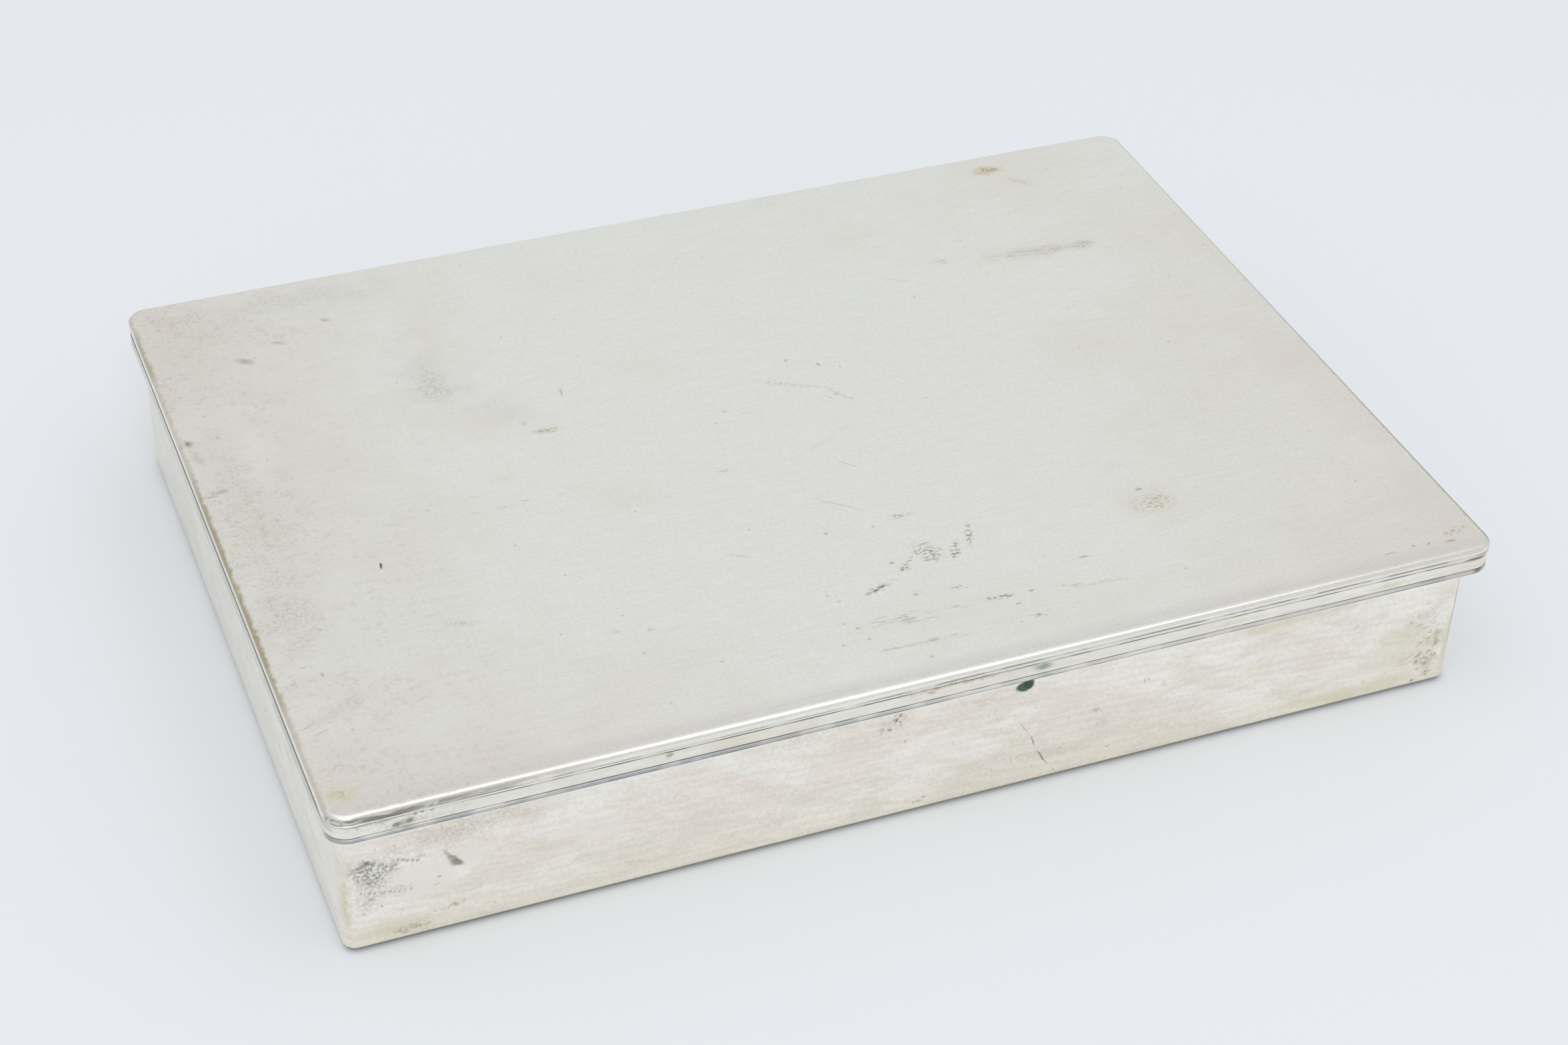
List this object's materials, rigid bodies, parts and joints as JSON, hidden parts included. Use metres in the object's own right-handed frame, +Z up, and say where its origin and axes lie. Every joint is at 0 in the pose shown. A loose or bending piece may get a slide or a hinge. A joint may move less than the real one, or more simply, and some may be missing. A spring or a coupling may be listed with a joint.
{
  "type": "table cigarette box",
  "caption": "Flat rectangular silver-plated table box with an overhanging hinged lid and cedar-lined compartments that hold cigarettes.",
  "frame": {"origin": "on the table under the middle of the lid's outline", "axes": "+X along the length to the right, +Y to the back where the hinge is, +Z up"},
  "size_m": [0.185, 0.134, 0.0285],
  "materials": {
    "silver_plate": "silver plate, satin, aged, with wipe marks and cloudy tarnish",
    "silver_edge": "silver plate, brighter on the edge moulding, with dark creases",
    "hinge_metal": "worn plated tube and wire",
    "cedar": "bare reddish cedar, fine straight grain",
    "baize": "thin dark felt"
  },
  "bodies": {
    "box": {"body_shell": "silver_plate", "base_felt": "baize", "floor_liner": "cedar", "front_liner": "cedar", "back_liner": "cedar", "left_liner": "cedar", "right_liner": "cedar", "divider": "cedar", "hinge_bearer": "silver_plate", "body_knuckle_1": "hinge_metal", "body_knuckle_2": "hinge_metal", "body_knuckle_3": "hinge_metal", "body_knuckle_4": "hinge_metal", "hinge_pin": "hinge_metal"},
    "lid": {"lid_top": "silver_plate", "lid_rim": "silver_edge", "lid_knuckle_1": "hinge_metal", "lid_knuckle_2": "hinge_metal", "lid_knuckle_3": "hinge_metal"}
  },
  "joints": [
    {"name": "lid_hinge", "type": "hinge", "parent": "box", "child": "lid", "pos_m": [-0.0005, 0.0645, 0.0232], "axis": [-1, 0, 0], "range_deg": [0, 108]}
  ]
}
